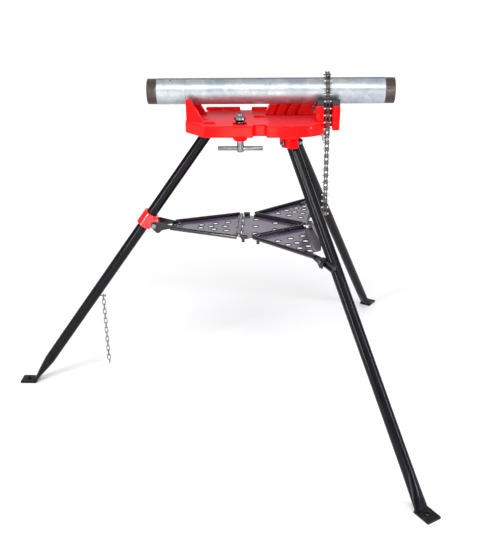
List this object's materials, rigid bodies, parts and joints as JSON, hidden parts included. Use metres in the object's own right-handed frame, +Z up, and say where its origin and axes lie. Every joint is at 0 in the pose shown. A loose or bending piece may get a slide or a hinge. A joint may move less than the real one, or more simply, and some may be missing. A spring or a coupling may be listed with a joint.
{
  "type": "folding tripod chain vise stand",
  "caption": "Folding tripod stand with a cast head that holds a pipe in a V-jaw chain vise over a hinged tool tray and three splayed tube legs.",
  "frame": {"origin": "centre of the bounding box in plan, at the soles of the feet", "axes": "+X along the pipe, from the rear leg to the jaws; +Z up; -Y is the side of the ceiling-brace screw and of the chain's free end"},
  "size_m": [1.262, 1.3606, 1.0035],
  "materials": {
    "red_paint": "glossy red enamel over cast iron",
    "jaw_steel": "hardened steel, blackened",
    "dark_bolts": "black oxide",
    "zinc": "bright zinc plate",
    "leg_paint": "gloss black enamel on tube",
    "tray_paint": "satin black-violet powder coat on sheet",
    "link_paint": "satin black",
    "pin_steel": "plain steel",
    "chain_steel": "blackened roller-chain plates",
    "chain_pin_steel": "worn bright pins",
    "screw_steel": "oiled steel",
    "galvanised": "galvanised pipe with dark cut threads"
  },
  "bodies": {
    "head": {"head_casting": "red_paint", "jaw_right": "jaw_steel", "jaw_left": "jaw_steel", "jaw_bolts": "dark_bolts", "pivot_bolts": "zinc", "pivot_nuts": "zinc"},
    "tray_middle": {"tray_middle": "tray_paint", "hinge_pin_rear": "pin_steel", "hinge_pin_right": "pin_steel", "hinge_pin_left": "pin_steel"},
    "leg_rear": {"leg_rear": "leg_paint", "collar": "red_paint", "storage_stud": "zinc"},
    "leg_front_right": {"leg_front_right": "leg_paint", "wing_lug_right": "link_paint"},
    "leg_front_left": {"leg_front_left": "leg_paint", "wing_lug_left": "link_paint"},
    "tray_rear": {"tray_rear": "tray_paint", "tray_fork": "link_paint", "fork_rivets": "zinc", "fork_bolts": "zinc"},
    "tray_wing_right": {"tray_wing_right": "tray_paint", "wing_flange_right": "tray_paint", "wing_ear_right": "link_paint", "wing_bolt_right": "zinc"},
    "tray_wing_left": {"tray_wing_left": "tray_paint", "wing_flange_left": "tray_paint", "wing_ear_left": "link_paint", "wing_bolt_left": "zinc"},
    "storage_chain": {"storage_chain": "zinc", "storage_hook": "zinc"},
    "pipe": {"pipe": "galvanised"},
    "chain_wrap": {"chain_screw": "screw_steel", "chain_wrap_outer": "chain_steel", "chain_wrap_inner": "chain_steel", "chain_wrap_pins": "chain_pin_steel"},
    "chain_tail": {"chain_tail_outer": "chain_steel", "chain_tail_inner": "chain_steel", "chain_tail_pins": "chain_pin_steel"},
    "handle_nut": {"handle_nut": "screw_steel"},
    "brace_cap": {"brace_cap": "zinc"},
    "brace_screw": {"brace_screw": "zinc"},
    "brace_bar": {"brace_bar": "zinc"}
  },
  "joints": [
    {"name": "tray_rise", "type": "slide", "parent": "head", "child": "tray_middle", "axis": [0, 0, 1], "range_m": [0, 0.18531]},
    {"name": "leg_rear_fold", "type": "hinge", "parent": "head", "child": "leg_rear", "pos_m": [0.02763, 0, 0.842], "axis": [0, -1, 0], "range_deg": [0, 24.82]},
    {"name": "leg_front_right_fold", "type": "hinge", "parent": "head", "child": "leg_front_right", "pos_m": [0.26017, -0.11993, 0.828], "axis": [0.841, 0.541, 0], "range_deg": [0, 36.42]},
    {"name": "leg_front_left_fold", "type": "hinge", "parent": "head", "child": "leg_front_left", "pos_m": [0.26017, 0.11993, 0.828], "axis": [-0.841, 0.541, 0], "range_deg": [0, 36.42]},
    {"name": "tray_rear_fold", "type": "hinge", "parent": "tray_middle", "child": "tray_rear", "pos_m": [0.11103, 0, 0.551], "axis": [0, -1, 0], "range_deg": [0, 62.59]},
    {"name": "tray_wing_right_fold", "type": "hinge", "parent": "tray_middle", "child": "tray_wing_right", "pos_m": [0.32103, 0, 0.551], "axis": [0.841, 0.541, 0], "range_deg": [0, 77.03]},
    {"name": "tray_wing_left_fold", "type": "hinge", "parent": "tray_middle", "child": "tray_wing_left", "pos_m": [0.32103, 0, 0.551], "axis": [-0.841, 0.541, 0], "range_deg": [0, 77.03]},
    {"name": "storage_chain_hang", "type": "hinge", "parent": "leg_rear", "child": "storage_chain", "pos_m": [-0.33087, 0, 0.316], "axis": [0, -1, 0], "range_deg": [-24.82, 0]},
    {"name": "pipe_slide", "type": "slide", "parent": "head", "child": "pipe", "axis": [1, 0, 0], "range_m": [-0.1, 0.1]},
    {"name": "chain_lift", "type": "slide", "parent": "head", "child": "chain_wrap", "axis": [0, 0, 1], "range_m": [0, 0.012]},
    {"name": "handle_nut_turn", "type": "hinge", "parent": "head", "child": "handle_nut", "pos_m": [0.36303, 0.05772, 0.824], "axis": [0, 0, 1], "range_deg": [0, 1440]},
    {"name": "chain_tail_swing", "type": "hinge", "parent": "chain_wrap", "child": "chain_tail", "pos_m": [0.36303, -0.05772, 0.88998], "axis": [1, 0, 0], "range_deg": [-20, 4]},
    {"name": "brace_lift", "type": "slide", "parent": "head", "child": "brace_cap", "axis": [0, 0, 1], "range_m": [-0.01, 0.014]},
    {"name": "brace_turn", "type": "hinge", "parent": "brace_cap", "child": "brace_screw", "pos_m": [0.11953, -0.098, 0.84], "axis": [0, 0, 1], "range_deg": [-1200, 1680]},
    {"name": "brace_bar_slide", "type": "slide", "parent": "brace_screw", "child": "brace_bar", "axis": [1, 0, 0], "range_m": [-0.045, 0.045]}
  ],
  "couplings": [
    {"joint": "leg_rear_fold", "follows": "tray_rise", "rad_per_m": 2.3356},
    {"joint": "leg_front_right_fold", "follows": "tray_rise", "rad_per_m": 3.4282},
    {"joint": "leg_front_left_fold", "follows": "tray_rise", "rad_per_m": 3.4282},
    {"joint": "tray_rear_fold", "follows": "tray_rise", "rad_per_m": 5.8927},
    {"joint": "tray_wing_right_fold", "follows": "tray_rise", "rad_per_m": 7.2529},
    {"joint": "tray_wing_left_fold", "follows": "tray_rise", "rad_per_m": 7.2529},
    {"joint": "storage_chain_hang", "follows": "tray_rise", "rad_per_m": -2.3356},
    {"joint": "handle_nut_turn", "follows": "chain_lift", "rad_per_m": 2094.4},
    {"joint": "brace_turn", "follows": "brace_lift", "rad_per_m": 2094.4}
  ]
}
